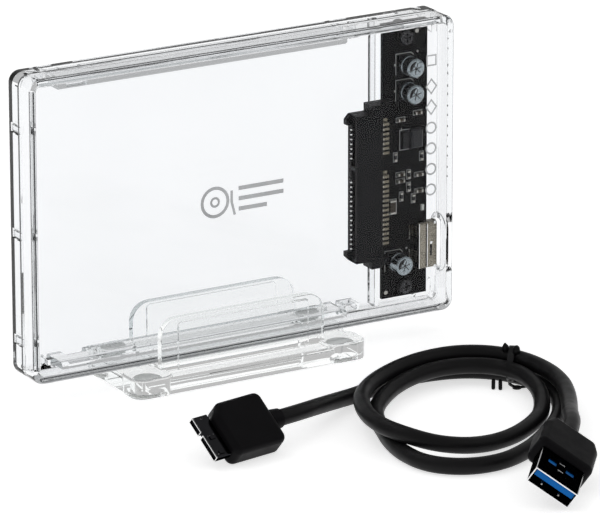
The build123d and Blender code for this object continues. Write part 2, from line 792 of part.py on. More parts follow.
def plug_grip(nose, axis, up, outline, corners, thickness, relief, name):
    """A moulded grip: its outline as seen from above, rounded, with a tapered relief."""
    across = up.cross(axis)
    grip_end = max(back for _, back in outline)
    with BuildPart() as grip:
        with BuildSketch(Plane(origin=nose, x_dir=across, z_dir=up)):
            with BuildLine():
                Polyline(*[(side, -back) for side, back in outline], close=True)
            make_face()
        extrude(amount=thickness / 2, both=True)
        fillet(grip.edges().filter_by(Axis(nose, up)), corners)
        top_and_bottom = grip.faces().filter_by(Axis(nose, up))
        fillet(top_and_bottom.edges(), grip_round)
        with BuildSketch(Plane(origin=nose + axis * (grip_end - 1), x_dir=across, z_dir=axis)):
            Circle(relief_root_radius)
        with BuildSketch(Plane(origin=nose + axis * (grip_end + relief), x_dir=across, z_dir=axis)):
            Circle(relief_tip_radius)
        loft()
    save(grip, name)


micro_half = micro_grip_width / 2
micro_grip_end = micro_shell_length + micro_grip_length
plug_grip(
    micro_nose,
    micro_axis,
    micro_up,
    [
        (-micro_half, micro_shell_length),
        (micro_half - micro_grip_chamfer, micro_shell_length),
        (micro_half, micro_shell_length + micro_grip_chamfer),
        (micro_half, micro_grip_end),
        (-micro_half, micro_grip_end),
    ],
    micro_grip_corner,
    micro_grip_thickness,
    micro_relief_length,
    "micro_plug_grip",
)


# ================================================================ the lead's large plug
def plug_plane(back):
    """Across the large plug, this far behind its nose: x across it, y up from its face."""
    return Plane(origin=plug_nose + plug_axis * back, x_dir=plug_across, z_dir=plug_axis)


plug_inner = (plug_shell_width - 2 * plug_shell_wall, plug_shell_height - 2 * plug_shell_wall)

with BuildPart() as usb_plug_shell:
    with BuildSketch(plug_plane(0)):
        RectangleRounded(plug_shell_width, plug_shell_height, plug_shell_corner)
        RectangleRounded(*plug_inner, plug_shell_corner - plug_shell_wall, mode=Mode.SUBTRACT)
    extrude(amount=plug_shell_length)
    # Two square windows through each broad face.
    with BuildSketch(plug_plane(plug_window_back)):
        for side in (-1, 1):
            with Locations((side * plug_window_spread / 2, 0)):
                Rectangle(plug_window_size[0], plug_shell_height)
    extrude(amount=plug_window_size[1], mode=Mode.SUBTRACT)
save(usb_plug_shell, "usb_plug_shell")

with BuildPart() as usb_plug_insulator:
    with BuildSketch(plug_plane(plug_insulator_inset)):
        with Locations((0, (plug_inner[1] - plug_insulator_height) / 2)):
            Rectangle(plug_inner[0] - 2 * plug_insulator_gap, plug_insulator_height)
    extrude(amount=plug_shell_length - plug_insulator_inset)
    with BuildSketch(plug_plane(plug_shell_length - plug_base_length)):
        Rectangle(plug_inner[0] - 2 * plug_insulator_gap, plug_inner[1])
    extrude(amount=plug_base_length)
save(usb_plug_insulator, "usb_plug_insulator")

with BuildPart() as usb_plug_contacts:
    contact_y = plug_inner[1] / 2 - plug_insulator_height - plug_contact_thickness / 2
    with BuildSketch(plug_plane(plug_shell_length - plug_base_length - plug_contact_size[1])):
        for i in range(plug_contact_count):
            with Locations(((i - (plug_contact_count - 1) / 2) * plug_contact_pitch, contact_y)):
                Rectangle(plug_contact_size[0], plug_contact_thickness)
    extrude(amount=plug_contact_size[1])
save(usb_plug_contacts, "usb_plug_contacts")

plug_half = plug_grip_width / 2
plug_rear_half = plug_grip_rear_width / 2
plug_grip_end = plug_shell_length + plug_grip_length
plug_grip(
    plug_nose,
    plug_axis,
    plug_up,
    [
        (-plug_half, plug_shell_length),
        (plug_half, plug_shell_length),
        (plug_half, plug_grip_end - plug_grip_shoulder),
        (plug_rear_half, plug_grip_end),
        (-plug_rear_half, plug_grip_end),
        (-plug_half, plug_grip_end - plug_grip_shoulder),
    ],
    plug_grip_corner,
    plug_grip_thickness,
    plug_relief_length,
    "usb_plug_grip",
)


# ================================================================ the lead's cord
def corner_radii(route):
    """The largest even arc at each corner of the route that its two runs have room for."""
    radii = []
    for before, corner, after in zip(route, route[1:], route[2:]):
        half_turn = math.radians((corner - before).get_angle(after - corner)) / 2
        shorter_run = min((corner - before).length, (after - corner).length)
        radii.append(run_share * shorter_run / math.tan(half_turn))
    return radii


def cord(route, name):
    """One round tube of the lead along its route."""
    radii = corner_radii(route)
    with BuildPart() as tube:
        with BuildLine() as path:
            FilletPolyline(*route, radius=radii)
        with BuildSketch(Plane(origin=path.wire() @ 0, z_dir=path.wire() % 0)):
            Circle(lead_radius)
        sweep()
    save(tube, name)
    length = path.wire().length
    expected = math.pi * lead_radius**2 * length
    print(name, "length", round(length, 1), "radii", [round(r, 1) for r in radii])
    print(name, "volume", round(tube.part.volume, 1), "section x length", round(expected, 1))


cord(lead_in_route, "lead_tube")
cord(lead_out_route, "lead_tail")

with BuildPart() as lead_coil:
    with BuildSketch():
        with Locations(coil_outer_mid):
            Ellipse(*[r + lead_radius for r in coil_outer_radii], rotation=coil_outer_turn)
        with Locations(coil_inner_mid):
            Ellipse(
                *[r - lead_radius for r in coil_inner_radii],
                rotation=coil_inner_turn,
                mode=Mode.SUBTRACT,
            )
    extrude(amount=coil_height)
save(lead_coil, "lead_coil")

# The tie is a clip over the bundle, with its two twisted ends standing on top.
tie_direction = Vector(1, 0, 0).rotate(Axis.Z, tie_heading)
tie_across = Vector(0, 1, 0).rotate(Axis.Z, tie_heading)
tie_mid_point = Vector(*tie_mid, 0)
tie_plane = Plane(
    origin=tie_mid_point - tie_direction * (tie_band / 2), x_dir=tie_across, z_dir=tie_direction
)
with BuildPart() as lead_tie:
    with BuildSketch(tie_plane):
        with Locations((0, coil_height / 2)):
            Rectangle(tie_inner_span + 2 * tie_thickness, coil_height)
            Rectangle(tie_inner_span, coil_height, mode=Mode.SUBTRACT)
        with Locations((0, coil_height + tie_thickness / 2)):
            Rectangle(tie_inner_span + 2 * tie_thickness, tie_thickness)
    extrude(amount=tie_band)
    with BuildSketch(Plane.XY.offset(coil_height)):
        for side in (-1, 1):
            knob = tie_mid_point + tie_across * (side * tie_knob_spread)
            with Locations((knob.X, knob.Y)):
                Circle(tie_knob_radius)
    extrude(amount=tie_thickness + tie_knob_height)
    fillet(lead_tie.faces().group_by(Axis.Z)[-1].edges(), tie_knob_radius / 2)
save(lead_tie, "lead_tie")
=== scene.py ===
import json
import math

import bmesh
import bpy
from mathutils import Matrix, Vector


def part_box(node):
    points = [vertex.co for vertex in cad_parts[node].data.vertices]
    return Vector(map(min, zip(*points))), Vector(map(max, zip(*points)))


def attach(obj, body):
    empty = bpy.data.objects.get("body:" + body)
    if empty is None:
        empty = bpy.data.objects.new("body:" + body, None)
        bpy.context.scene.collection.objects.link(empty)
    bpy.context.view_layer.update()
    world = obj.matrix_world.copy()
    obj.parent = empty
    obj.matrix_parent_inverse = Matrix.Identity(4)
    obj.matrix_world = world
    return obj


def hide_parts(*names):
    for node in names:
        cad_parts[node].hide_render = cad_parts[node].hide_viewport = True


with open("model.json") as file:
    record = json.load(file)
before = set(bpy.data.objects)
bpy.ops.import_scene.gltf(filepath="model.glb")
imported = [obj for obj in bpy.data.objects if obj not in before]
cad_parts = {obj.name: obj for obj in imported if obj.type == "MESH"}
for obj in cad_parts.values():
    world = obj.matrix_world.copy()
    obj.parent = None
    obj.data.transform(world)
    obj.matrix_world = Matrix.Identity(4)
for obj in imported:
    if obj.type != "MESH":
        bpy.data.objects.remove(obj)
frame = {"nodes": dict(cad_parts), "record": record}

MM = 0.001  # lengths are in millimetres wherever nothing else is said
scene = bpy.context.scene
nodes = frame["nodes"]
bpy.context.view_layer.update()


# ================================================================ camera
def make_camera():
    """The camera, in front of the object and to its left; its location is in metres."""
    camera = bpy.data.objects.new("camera", bpy.data.cameras.new("camera"))
    scene.collection.objects.link(camera)
    camera.location = (-0.698924, -1.241383, 0.489329)
    camera.rotation_euler = [math.radians(angle) for angle in (71.9572, 0.0629, -30.0385)]
    camera.data.sensor_width = 36.0
    camera.data.lens = 354.76
    camera.data.shift_x = 0.0027
    camera.data.shift_y = 0.0199
    camera.data.clip_end = 20.0
    scene.camera = camera


make_camera()
scene.view_settings.view_transform = "Standard"


# ================================================================ node helpers
# Noise textures seldom leave this range.
NOISE_LOW, NOISE_HIGH = 0.3, 0.7


class Look:
    """A material being built: its Principled shader, and noise placed in the shared frame."""

    def __init__(self, name, colour, roughness, metallic=0.0):
        self.name = name
        self.material = bpy.data.materials.new(name)
        self.material.use_nodes = True
        self.tree = self.material.node_tree
        self.shader = self.tree.nodes["Principled BSDF"]
        self.shader.inputs["Base Color"].default_value = (*colour, 1.0)
        self.shader.inputs["Roughness"].default_value = roughness
        self.shader.inputs["Metallic"].default_value = metallic
        self.colour = colour
        self.place = self.add("ShaderNodeTexCoord").outputs["Object"]

    def add(self, kind, **settings):
        node = self.tree.nodes.new(kind)
        for name, value in settings.items():
            setattr(node, name, value)
        return node

    def link(self, output, target):
        self.tree.links.new(output, target)

    def set(self, **values):
        for name, value in values.items():
            self.shader.inputs[name.replace("_", " ")].default_value = value

    def noise(self, size, detail=3.0, stretch=(1, 1, 1)):
        """Noise whose features are about this many millimetres across."""
        mapping = self.add("ShaderNodeMapping")
        mapping.inputs["Scale"].default_value = [1 / (size * MM * part) for part in stretch]
        self.link(self.place, mapping.inputs["Vector"])
        texture = self.add("ShaderNodeTexNoise")
        texture.inputs["Scale"].default_value = 1.0
        texture.inputs["Detail"].default_value = detail
        self.link(mapping.outputs["Vector"], texture.inputs["Vector"])
        return texture.outputs["Fac"]

    def ramp(self, source, stops):
        """The source passed through a colour ramp of (position, colour) stops."""
        node = self.add("ShaderNodeValToRGB")
        ramp = node.color_ramp
        ramp.elements[0].position, ramp.elements[-1].position = stops[0][0], stops[-1][0]
        for place, _ in stops[1:-1]:
            ramp.elements.new(place)
        for element, (_, colour) in zip(ramp.elements, stops):
            element.color = (*colour, 1.0)
        self.link(source, node.inputs["Fac"])
        return node.outputs["Color"]

    def vary_colour(self, source, darker, lighter):
        """The look's own colour, from darker times it to lighter times it."""
        low, high = ([part * share for part in self.colour] for share in (darker, lighter))
        spread = self.ramp(source, [(NOISE_LOW, low), (NOISE_HIGH, high)])
        self.link(spread, self.shader.inputs["Base Color"])

    def vary_roughness(self, source, low, high):
        spread = self.add("ShaderNodeMapRange")
        spread.inputs["From Min"].default_value = NOISE_LOW
        spread.inputs["From Max"].default_value = NOISE_HIGH
        spread.inputs["To Min"].default_value = low
        spread.inputs["To Max"].default_value = high
        self.link(source, spread.inputs["Value"])
        self.link(spread.outputs["Result"], self.shader.inputs["Roughness"])

    def bump(self, source, height, strength=1.0):
        """Bumps this many millimetres high."""
        node = self.add("ShaderNodeBump")
        node.inputs["Distance"].default_value = height * MM
        node.inputs["Strength"].default_value = strength
        self.link(source, node.inputs["Height"])
        self.link(node.outputs["Normal"], self.shader.inputs["Normal"])


def moulded(name, colour, roughness, grain=0.35, height=0.012, shade=0.15, shine=0.25):
    """Moulded plastic or rubber: grain this wide and high, and patches of shade and polish."""
    shade_patch, polish_patch, smoother, rougher = 9.0, 3.0, 0.85, 1.15
    look = Look(name, colour, roughness)
    look.vary_colour(look.noise(shade_patch), 1 - shade, 1 + shade)
    look.vary_roughness(look.noise(polish_patch), roughness * smoother, roughness * rougher)
    look.bump(look.noise(grain, 2.0), height)
    look.set(Specular_IOR_Level=shine)
    return look


def metal(name, colour, roughness, streaks=(1, 1, 1), height=0.004, shade=0.1):
    """Plated or polished metal with faint streaks and dulled patches."""
    shade_patch, dull_patch, scratch, smoother, rougher = 2.5, 1.2, 0.4, 0.7, 1.3
    look = Look(name, colour, roughness, metallic=1.0)
    look.vary_colour(look.noise(shade_patch), 1 - shade, 1 + shade)
    dull = look.noise(dull_patch, 4.0, streaks)
    look.vary_roughness(dull, roughness * smoother, roughness * rougher)
    look.bump(look.noise(scratch, 3.0, streaks), height)
    return look


def clear(name, tint, shadow, count="Ray Depth", limit=7.0):
    """Clear plastic. shadow is the colour of the light that lamps send through it.

    A ray with more bounces than limit, by this count, goes straight on out. Otherwise the
    renderer gives it up, and an edge that keeps light inside turns black.
    """
    haze_patch, haze, ripple, ripple_height, face_on = 30.0, 0.985, 14.0, 0.02, 0.08
    look = Look(name, tint, 0.0)
    look.set(Transmission_Weight=1.0, IOR=1.49, Specular_Tint=(face_on, face_on, face_on, 1.0))
    look.vary_colour(look.noise(haze_patch), haze, 1.0)
    look.bump(look.noise(ripple, 1.0), ripple_height)
    through = look.add("ShaderNodeBsdfTransparent")
    through.inputs["Color"].default_value = (*shadow, 1.0)
    mix = look.add("ShaderNodeMixShader")
    path = look.add("ShaderNodeLightPath")
    trapped = look.add("ShaderNodeMath", operation="GREATER_THAN")
    trapped.inputs[1].default_value = limit
    look.link(path.outputs[count], trapped.inputs[0])
    passes = look.add("ShaderNodeMath", operation="MAXIMUM")
    look.link(path.outputs["Is Shadow Ray"], passes.inputs[0])
    look.link(trapped.outputs["Value"], passes.inputs[1])
    look.link(passes.outputs["Value"], mix.inputs["Fac"])
    look.link(look.shader.outputs["BSDF"], mix.inputs[1])
    look.link(through.outputs["BSDF"], mix.inputs[2])
    look.link(mix.outputs["Shader"], look.tree.nodes["Material Output"].inputs["Surface"])
    return look


# ================================================================ materials
def add_tracks(look):
    """The circuit board's faint tracks under its black mask: bricks with raised joints."""
    track_spacing, track_width, track_height, strength = 4.0, 0.03, 0.02, 0.5
    tracks = look.add("ShaderNodeTexBrick")
    tracks.inputs["Scale"].default_value = 1 / (track_spacing * MM)
    tracks.inputs["Mortar Size"].default_value = track_width
    tracks.inputs["Color1"].default_value = (0.30, 0.30, 0.30, 1.0)
    tracks.inputs["Color2"].default_value = (0.55, 0.55, 0.55, 1.0)
    tracks.inputs["Mortar"].default_value = (1.0, 1.0, 1.0, 1.0)
    turn = look.add("ShaderNodeMapping")
    turn.inputs["Rotation"].default_value = (math.pi / 2, 0, 0)
    look.link(look.place, turn.inputs["Vector"])
    look.link(turn.outputs["Vector"], tracks.inputs["Vector"])
    look.bump(tracks.outputs["Color"], track_height, strength)


def make_looks():
    """Every look by name: the record's material slots, and a few for the added details."""
    steel_shine = 0.15
    made = [
        clear("clear_shell", (0.922, 0.929, 0.937), (0.96, 0.97, 0.975)),
        clear("clear_cradle", (0.975, 0.978, 0.975), (0.95, 0.96, 0.96), "Glossy Depth", 2.5),
        moulded("silicone_pad", (0.80, 0.81, 0.80), 0.55, 0.6, 0.05),
        moulded("board_black", (0.0025, 0.0025, 0.0032), 0.34, shade=0.25, shine=0.05),
        metal("black_screw", (0.05, 0.05, 0.052), 0.3),
        moulded("connector_black", (0.004, 0.004, 0.0055), 0.3, 0.3, 0.006, shine=0.09),
        metal("gold_contact", (0.19, 0.17, 0.13), 0.3, (1, 1, 4)),
        metal("port_nickel", (0.24, 0.22, 0.18), 0.26, (6, 1, 1)),
        moulded("chip_epoxy", (0.02, 0.02, 0.022), 0.5, 0.15, 0.008),
        moulded("ferrite", (0.028, 0.029, 0.032), 0.45, 0.2, 0.01),
        moulded("ceramic_part", (0.055, 0.042, 0.03), 0.4, 0.2, 0.006),
        moulded("led_lens", (0.75, 0.78, 0.74), 0.2, 0.4, 0.004),
        metal("capacitor_aluminium", (0.30, 0.34, 0.36), 0.24, shade=0.05, height=0.001),
        moulded("lead_black", (0.007, 0.0067, 0.0072), 0.4, 0.45, 0.012, shine=0.13),
        moulded("grip_black", (0.0055, 0.0052, 0.006), 0.42, 0.45, 0.014, shine=0.05),
        moulded("tie_black", (0.007, 0.007, 0.0075), 0.38, 0.4, 0.02, shine=0.14),
        metal("plug_steel", (0.03, 0.03, 0.033), 0.16, (1, 1, 5)),
        moulded("insulator_blue", (0.001, 0.115, 0.40), 0.35, 0.3, 0.006, shine=0.1),
        moulded("print_white", (0.62, 0.63, 0.62), 0.5, 0.2, 0.004),
        moulded("print_grey", (0.50, 0.51, 0.52), 0.45, 0.2, 0.004),
        metal("solder", (0.42, 0.41, 0.38), 0.3),
        # A light metal that only paints highlights, on the added pieces.
        metal("painted_highlight_metal", (0.80, 0.80, 0.80), 0.2),
        # Painted shade for the enclosure's joint line.
        moulded("joint_shade_grey", (0.17, 0.175, 0.18), 0.4, 0.3, 0.004),
        # Black print, and also painted shade on the port's shell.
        moulded("print_and_shade_black", (0.01, 0.01, 0.012), 0.35, 0.2, 0.004),
    ]
    made = {look.name: look for look in made}
    made["plug_steel"].set(Specular_Tint=(steel_shine, steel_shine, steel_shine, 1.0))
    add_tracks(made["board_black"])
    return {name: look.material for name, look in made.items()}


looks = make_looks()


def soften_edges():
    """Rounds the clear mouldings' corners slightly, which is what draws their edges."""
    merge_gap, flat_within, corner_from = 1e-6, math.radians(1.0), math.radians(40.0)
    rounding = 0.22
    for name in ("rear_shell", "front_cover", "stand_cradle"):
        weld = nodes[name].modifiers.new("weld", "WELD")
        weld.merge_threshold = merge_gap
        flat = nodes[name].modifiers.new("flat", "DECIMATE")
        flat.decimate_type = "DISSOLVE"
        flat.angle_limit = flat_within
        bevel = nodes[name].modifiers.new("bevel", "BEVEL")
        bevel.width = rounding * MM
        bevel.segments = 2
        bevel.limit_method = "ANGLE"
        bevel.angle_limit = corner_from
        bevel.use_clamp_overlap = False


def dress_nodes():
    """Each CAD node gets the look of its own material slot, and the plugs' grips their own."""
    for row in frame["record"]["subparts"]:
        mesh = nodes[row["node"]].data
        mesh.materials.clear()
        grip = row["node"] in ("micro_plug_grip", "usb_plug_grip")
        mesh.materials.append(looks["grip_black" if grip else row["material_slot"]])


# ================================================================ mesh helpers
def facing(origin, right, up):
    """A plane's matrix: x right, y up and z out of it."""
    right, up = Vector(right).normalized(), Vector(up).normalized()
    matrix = Matrix((right, up, right.cross(up))).transposed().to_4x4()
    matrix.translation = origin
    return matrix


def front_plane(y):
    """The plane at this y, in metres, that faces the front, with x right and z up."""
    return facing((0, y, 0), (1, 0, 0), (0, 0, 1))


def finish_piece(name, form, look, body, smooth=False):
    """Makes the mesh a piece with this look. It rides on body."""
    bmesh.ops.recalc_face_normals(form, faces=form.faces)
    mesh = bpy.data.meshes.new(name)
    form.to_mesh(mesh)
    form.free()
    mesh.materials.append(looks[look])
    if smooth:
        mesh.shade_smooth()
    piece = bpy.data.objects.new(name, mesh)
    scene.collection.objects.link(piece)
    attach(piece, body)
    return piece


def skin(form, rings, closed=False, caps=True):
    """Faces between rings of points, with the ends closed."""
    rows = [[form.verts.new(point) for point in ring] for ring in rings]
    for row, after in zip(rows, rows[1:] + (rows[:1] if closed else [])):
        for k in range(len(row)):
            form.faces.new((row[k], row[k - 1], after[k - 1], after[k]))
    if caps and not closed:
        form.faces.new(rows[0])
        form.faces.new(rows[-1][::-1])


def plate(form, plane, outline, height, base=0.0):
    """A flat plate standing height out of the plane; sizes in millimetres."""
    levels = (base * MM, (base + height) * MM)
    skin(form, [[plane @ Vector((x * MM, y * MM, z)) for x, y in outline] for z in levels])


def ribbon(form, plane, points, width, height, closed=False):
    """A line along points, standing height out of the plane; sizes in millimetres."""
    least_share = 0.5  # keeps the mitre of a sharp corner short
    points = [Vector(point) for point in points]
    rings = []
    for i, here in enumerate(points):
        runs = []
        if closed or i:
            runs.append((here - points[i - 1]).normalized())
        if closed or i + 1 < len(points):
            runs.append((points[(i + 1) % len(points)] - here).normalized())
        along = sum(runs, Vector((0, 0))).normalized()
        side = Vector((-along.y, along.x)) * (width / 2 / max(along.dot(runs[0]), least_share))
        left, right = here + side, here - side
        ring = ((left, 0), (left, height), (right, height), (right, 0))
        rings.append([plane @ Vector((p.x * MM, p.y * MM, z * MM)) for p, z in ring])
    skin(form, rings, closed)


def rectangle(left, low, right, high):
    return [(left, low), (right, low), (right, high), (left, high)]


def arc(mid, radius, start, end, steps):
    """Points on an arc, angles in degrees."""
    angles = [math.radians(start + (end - start) * i / steps) for i in range(steps + 1)]
    return [(mid[0] + radius * math.cos(a), mid[1] + radius * math.sin(a)) for a in angles]


def circle(mid, radius, steps=32):
    return arc(mid, radius, 0, 360, steps)[:-1]


def corners(name):
    """A node's lowest and highest corners in millimetres."""
    return [[v / MM for v in corner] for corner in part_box(name)]


def middle(name):
    """The middle of a node's box in millimetres."""
    low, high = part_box(name)
    return [(a + b) / 2 / MM for a, b in zip(low, high)]


# ================================================================ the lead
lead_radius = 2.1
# Each plug's nose, the way from its nose to its cord, and the point where the cord leaves it.
micro_nose = Vector((-44.8, -63.0, 6.7))
micro_axis = Vector((0.982, 0.190, 0.0)).normalized()
micro_exit = micro_nose + micro_axis * 24.1
plug_nose = Vector((11.6, -131.7, 5.8))
plug_axis = Vector((0.6412, 0.7598, 0.0989)).normalized()
plug_exit = plug_nose + plug_axis * 29.5
lead_in_route = [
    micro_exit,
    micro_exit + micro_axis * 6.0,
    Vector((-5.5, -51.3, 5.0)),
    Vector((3.0, -45.9, 3.3)),
    Vector((9.5, -42.7, 2.4)),
    Vector((17.2, -39.6, 2.1)),
    Vector((24.5, -37.4, 2.1)),
    Vector((32.2, -36.4, 2.1)),
]
lead_out_route = [
    Vector((46.5, -84.6, 6.8)),
    Vector((41.8, -92.0, 7.6)),
    Vector((38.6, -97.6, 8.6)),
    plug_exit + plug_axis * 7.5,
    plug_exit,
]

# The coil goes clockwise round an oval. At each heading: how far outside the oval the
# lead's middle is, and how high. It starts on the table, goes over its own start and down
# again inside it, and halfway through its second turn climbs on top, where it stays.
coil_mid = Vector((25.5, -68.0))
coil_radii = (33.0, 22.5)
coil_turn = 47.0
coil_start, coil_end, coil_step = 60, -735, 15
coil_lay = [
    (60, 2.3, 2.1), (45, 1.7, 2.1), (0, 2.1, 2.1), (-55, 0.9, 2.1), (-80, 2.1, 2.1),
    (-110, 6.3, 2.1), (-130, 5.0, 2.1), (-155, -2.2, 2.1), (-175, -3.9, 2.1),
    (-215, -1.1, 2.7), (-260, -1.5, 4.1), (-290, -1.9, 4.8), (-333, -2.0, 4.8),
    (-350, -2.5, 4.0), (-390, -3.3, 2.2), (-440, -5.6, 2.1), (-467, -6.9, 2.5),
    (-485, -5.8, 3.7), (-510, -1.9, 6.3), (-530, 0.3, 6.6), (-575, 2.2, 6.5),
    (-610, 2.4, 6.1), (-640, 2.2, 6.5), (-663, 3.2, 6.5), (-695, 2.2, 6.5), (-735, 3.2, 6.5),
]


def oval_point(heading, outside):
    """The point this far outside the coil's oval, in the heading's direction from its middle."""
    angle = math.radians(heading)
    from_long = angle - math.radians(coil_turn)
    long, short = coil_radii
    reach = 1 / math.hypot(math.cos(from_long) / long, math.sin(from_long) / short)
    return coil_mid + (reach + outside) * Vector((math.cos(angle), math.sin(angle)))


def coil_point(heading):
    """The lead's middle at this heading, between the two nearest lines of coil_lay."""
    for (before, out_a, high_a), (after, out_b, high_b) in zip(coil_lay, coil_lay[1:]):
        if heading >= after:
            share = (before - heading) / (before - after)
            spot = oval_point(heading, out_a + (out_b - out_a) * share)
            return Vector((spot.x, spot.y, high_a + (high_b - high_a) * share))


def make_lead():
    """The whole cord as one smooth curve along its route, from plug to plug."""
    coil = [coil_point(heading) for heading in range(coil_start, coil_end - 1, -coil_step)]
    points = lead_in_route + coil + lead_out_route
    curve = bpy.data.curves.new("lead_cord", "CURVE")
    curve.dimensions = "3D"
    curve.bevel_depth = lead_radius * MM
    curve.bevel_resolution = 8
    curve.resolution_u = 20
    curve.use_fill_caps = True
    line = curve.splines.new("NURBS")
    line.points.add(len(points) - 1)
    for knot, point in zip(line.points, points):
        knot.co = (*(point * MM), 1.0)
    line.order_u = 3
    line.use_endpoint_u = True
    curve.materials.append(looks["lead_black"])
    cord = bpy.data.objects.new("lead_cord", curve)
    scene.collection.objects.link(cord)
    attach(cord, "usb_lead")
    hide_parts("lead_tube", "lead_coil", "lead_tail")
    return cord


lead_cord = make_lead()


def lathe(form, base, axis, profile, steps=20):
    """A turned solid: its profile is (how far along the axis, radius) pairs in millimetres."""
    side = axis.orthogonal().normalized()
    other = axis.cross(side)
    angles = [2 * math.pi * k / steps for k in range(steps)]
    ways = [side * math.cos(a) + other * math.sin(a) for a in angles]
    skin(form, [[(base + axis * along + way * radius) * MM for way in ways]
                for along, radius in profile])


def post(name, foot, top, profile):
    """A turned piece of the tie from foot to top; profile is (share of the way, radius) pairs."""
    form = bmesh.new()
    way = Vector(top) - Vector(foot)
    profile = [(share * way.length, radius) for share, radius in profile]
    lathe(form, Vector(foot), way.normalized(), profile)
    finish_piece(name, form, "tie_black", "usb_lead", smooth=True)


def make_tie():
    """The twist tie: a strap round the three strands, its knotted ends, and its loose tail."""
    heading, slant = 37.0, 15.0  # where it is round the coil, and how far it is turned there
    half_band, strap, clearance, off_table, steps = 0.8, 0.5, 0.12, 0.05, 48
    strands = [coil_point(heading - turn) for turn in (0, 360, 720)]
    top = max(strands, key=lambda strand: strand.z)
    angle = math.radians(heading + slant)
    out = Vector((math.cos(angle), math.sin(angle), 0))
    radial = Vector((math.cos(math.radians(heading)), math.sin(math.radians(heading)), 0))
    spread = 1 / math.cos(math.radians(slant))
    spots = [top + out * ((strand - top).dot(radial) * spread) for strand in strands]
    for spot, strand in zip(spots, strands):
        spot.z = strand.z
    along = out.cross(Vector((0, 0, 1)))
    form = bmesh.new()
    rings = []
    for step in range(steps):
        angle = 2 * math.pi * step / steps
        across, up = math.cos(angle), math.sin(angle)
        held = max(spots, key=lambda spot: spot.dot(out) * across + spot.z * up)
        away = out * (across * spread) + Vector((0, 0, up))
        ring = []
        for side, rise in ((-1, 0), (1, 0), (1, strap), (-1, strap)):
            point = held + away * (lead_radius + clearance + rise)
            point += along * (side * half_band)
            point.z = max(point.z, off_table)
            ring.append(point * MM)
        rings.append(ring)
    skin(form, rings, closed=True)
    tie = finish_piece("tie_strap", form, "tie_black", "usb_lead")
    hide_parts("lead_tie")

    pointed = [(0.0, 0.9), (0.35, 1.0), (0.6, 0.8), (1.0, 0.2)]
    rounded = [(0.0, 0.9), (0.4, 0.95), (0.75, 0.8), (0.93, 0.5), (1.0, 0.2)]
    leg = [(0.0, 0.3), (0.1, 0.5), (0.8, 0.5), (1.0, 0.4)]
    post("tie_end_pointed", (51.9, -46.4, 7.9), (51.0, -47.3, 10.5), pointed)
    post("tie_end_rounded", (53.0, -49.6, 7.9), (53.1, -49.5, 10.2), rounded)
    post("tie_leg_left", (45.6, -50.6, 0.12), (46.7, -48.9, 2.1), leg)
    post("tie_leg_right", (46.9, -51.9, 0.12), (47.9, -50.2, 2.1), leg)

    form = bmesh.new()
    table = facing((0, 0, 0.06 * MM), (1, 0, 0), (0, 1, 0))
    loop_width, width, height = 0.55, 0.6, 0.5
    ribbon(form, table, circle((51.2, -52.8), 0.85, 24), loop_width, height, closed=True)
    ribbon(form, table, [(51.0, -51.7), (50.9, -50.6), (51.1, -49.4)], width, height)
    ribbon(form, table, [(52.1, -53.1), (53.0, -53.3), (53.9, -53.2)], width, height)
    finish_piece("tie_tail", form, "tie_black", "usb_lead")


make_tie()


# ================================================================ on the circuit board
board_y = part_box("circuit_board")[0].y
board_front = front_plane(board_y)
ink = 0.03  # how high print stands


def boxes(name):
    """The separate solids of a node, as (low, high) corners in millimetres."""
    form = bmesh.new()
    form.from_mesh(nodes[name].data)
    bmesh.ops.remove_doubles(form, verts=form.verts, dist=1e-6)
    left = set(form.verts)
    found = []
    while left:
        group, edge = set(), [left.pop()]
        while edge:
            vertex = edge.pop()
            group.add(vertex)
            near = {link.other_vert(vertex) for link in vertex.link_edges} & left
            left -= near
            edge += near
        spots = [vertex.co / MM for vertex in group]
        found.append([[pick(spot[k] for spot in spots) for k in range(3)] for pick in (min, max)])
    form.free()
    return sorted(found)


def make_board_print():
    """White lines and dots on the board's front, and three bare marks near its corners."""
    hair, thin, thick, bare = 0.11, 0.14, 0.16, 0.22
    form = bmesh.new()
    for number in (1, 2, 3):
        x, _, z = middle(f"capacitor_can_{number}")
        reach = 2.9
        left, right, top, bottom = x - reach, x + reach, z + reach, z - reach
        bracket = [(left, bottom + 0.3), (left, top), (right - 1.3, top), (right - 0.5, top - 0.8)]
        ribbon(form, board_front, bracket, thick, ink)
        plate(form, board_front, circle((left - 0.25, z + 0.1), 0.3, 16), ink)
        ribbon(form, board_front, [(right + 0.3, top), (right + 1.0, top)], thin, ink)
        plus = [(right + 0.65, top - 0.35), (right + 0.65, top + 0.35)]
        ribbon(form, board_front, plus, thin, ink * 1.5)
    x, _, z = middle("inductor")
    ribbon(form, board_front, [(x - 3.9, z + 3.1), (x - 3.9, z + 2.2)], thin, ink)
    margin = 0.4
    for name in ("fuse", "regulator"):
        (x0, _, z0), (x1, _, z1) = corners(name)
        outline = rectangle(x0 - margin, z0 - margin, x1 + margin, z1 + margin)
        ribbon(form, board_front, outline, thin, ink, closed=True)
    for name, beside, above in (("ceramic_capacitors", 0.5, 0.2), ("resistors", 0.2, 0.45)):
        for (x0, _, z0), (x1, _, z1) in boxes(name):
            outline = rectangle(x0 - beside, z0 - above, x1 + beside, z1 + above)
            ribbon(form, board_front, outline, hair, ink, closed=True)
    pin_x, pin_pitch, pin_radius = 51.9, 0.5, 0.15
    for top_pin in (27.3, 21.6):
        for i in range(6):
            pin = circle((pin_x, top_pin - i * pin_pitch), pin_radius, 12)
            plate(form, board_front, pin, ink * 4)
    finish_piece("board_print", form, "print_white", "case")

    form = bmesh.new()
    for place in ((53.9, 80.0), (44.9, 11.1)):
        plate(form, board_front, circle(place, 0.55, 24), ink)
    ribbon(form, board_front, arc((50.4, 80.2), 0.6, -150, 60, 12), bare, ink)
    finish_piece("board_targets", form, "solder", "case")


